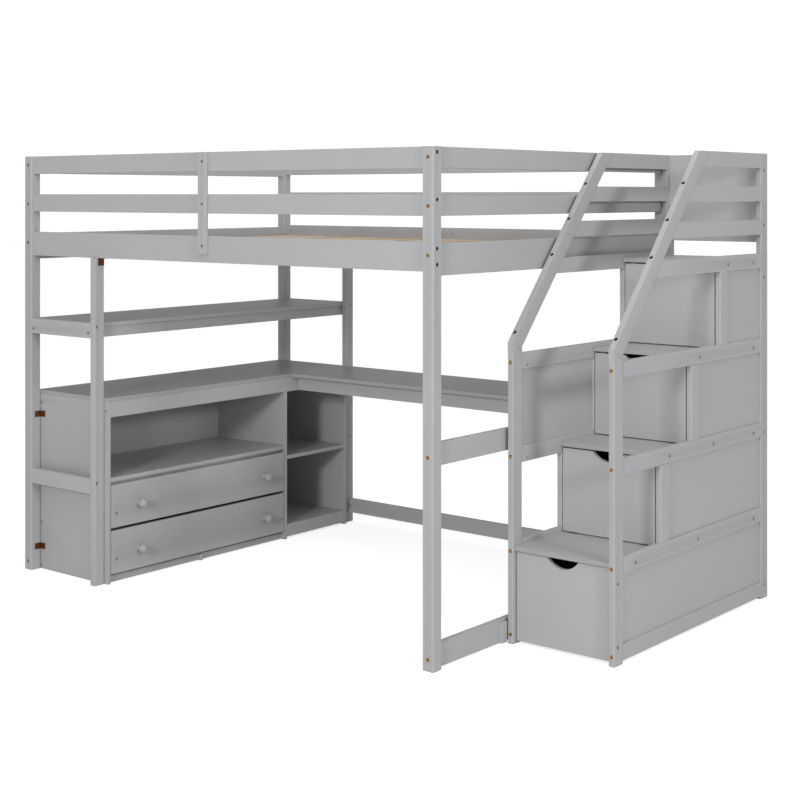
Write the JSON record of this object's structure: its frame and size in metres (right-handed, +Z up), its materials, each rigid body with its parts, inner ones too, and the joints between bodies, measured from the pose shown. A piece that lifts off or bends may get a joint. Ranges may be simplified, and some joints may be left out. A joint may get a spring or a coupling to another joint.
{
  "type": "loft bed with desk",
  "caption": "Raised full-size bed on square posts with guard rails, an L-shaped desk, shelf and drawer cabinet below, and a boxed storage stair with drop-down doors.",
  "frame": {"origin": "on the floor, at the centre of the whole footprint of bed and stair", "axes": "+X along the bed's long side towards the stair, +Y from the open room side to the wall side, +Z up"},
  "size_m": [2.408, 1.452, 1.598],
  "materials": {
    "painted_wood": "light grey satin paint on wood",
    "painted_desk_top": "deeper grey satin paint on board",
    "painted_tray": "thin grey paint on drawer boards",
    "natural_pine": "bare sanded pine",
    "brass_bolts": "coppery plated socket heads",
    "dark_steel_nuts": "dark oiled steel",
    "bronze_steel": "bronze plated steel",
    "zinc_runners": "zinc plated steel"
  },
  "bodies": {
    "bed_frame": {"back_bed_rail": "painted_wood", "back_guard_rails": "painted_wood", "back_left_post": "painted_wood", "back_lower_rail": "painted_wood", "back_right_post": "painted_wood", "barrel_nuts": "dark_steel_nuts", "bed_slats": "natural_pine", "bolt_heads": "brass_bolts", "cabinet_back_panel": "painted_wood", "cabinet_divider": "painted_wood", "cabinet_end_panel": "painted_wood", "cabinet_far_panel": "painted_wood", "cabinet_plinths": "painted_wood", "corner_brackets": "bronze_steel", "desk_aprons": "painted_wood", "desk_back_top": "painted_desk_top", "desk_posts": "painted_wood", "desk_side_top": "painted_desk_top", "door_stops": "painted_wood", "drawer_runners": "zinc_runners", "drawer_top_rail": "painted_wood", "end_bed_rails": "painted_wood", "end_cross_rails": "painted_wood", "end_guard_rails": "painted_wood", "end_stretchers": "painted_wood", "front_bed_rail": "painted_wood", "front_guard_rails": "painted_wood", "front_guard_stile": "painted_wood", "front_left_post": "painted_wood", "front_right_post": "painted_wood", "niche_shelf": "painted_wood", "open_shelf_boards": "painted_wood", "shelf_aprons": "painted_wood", "shelf_board": "painted_desk_top", "slat_supports": "natural_pine", "stair_back_boards": "painted_wood", "stair_guard_slats": "painted_wood", "stair_left_frame": "painted_wood", "stair_left_handrail": "painted_wood", "stair_left_panels": "painted_wood", "stair_right_frame": "painted_wood", "stair_right_handrail": "painted_wood", "stair_right_panels": "painted_wood", "stair_treads": "painted_wood", "stretcher_block": "painted_wood", "tread_hinge_leaves": "bronze_steel"},
    "upper_drawer": {"upper_drawer_front": "painted_wood", "upper_drawer_tray": "painted_tray", "upper_drawer_knobs": "painted_wood"},
    "lower_drawer": {"lower_drawer_front": "painted_wood", "lower_drawer_tray": "painted_tray", "lower_drawer_knobs": "painted_wood"},
    "stair_drawer": {"stair_drawer_front": "painted_wood", "stair_drawer_tray": "painted_tray"},
    "step_door_2": {"step_door_2": "painted_wood", "step_door_2_hinges": "bronze_steel"},
    "step_door_3": {"step_door_3": "painted_wood", "step_door_3_hinges": "bronze_steel"},
    "step_door_4": {"step_door_4": "painted_wood", "step_door_4_hinges": "bronze_steel"}
  },
  "joints": [
    {"name": "upper_drawer_slide", "type": "slide", "parent": "bed_frame", "child": "upper_drawer", "axis": [1, 0, 0], "range_m": [0, 0.3]},
    {"name": "lower_drawer_slide", "type": "slide", "parent": "bed_frame", "child": "lower_drawer", "axis": [1, 0, 0], "range_m": [0, 0.3]},
    {"name": "stair_drawer_slide", "type": "slide", "parent": "bed_frame", "child": "stair_drawer", "axis": [0, -1, 0], "range_m": [0, 0.4]},
    {"name": "step_door_2_hinge", "type": "hinge", "parent": "bed_frame", "child": "step_door_2", "pos_m": [1.005, -0.048, 0.317], "axis": [1, 0, 0], "range_deg": [0, 90]},
    {"name": "step_door_3_hinge", "type": "hinge", "parent": "bed_frame", "child": "step_door_3", "pos_m": [1.005, 0.156, 0.62], "axis": [1, 0, 0], "range_deg": [0, 90]},
    {"name": "step_door_4_hinge", "type": "hinge", "parent": "bed_frame", "child": "step_door_4", "pos_m": [1.005, 0.36, 0.923], "axis": [1, 0, 0], "range_deg": [0, 90]}
  ]
}
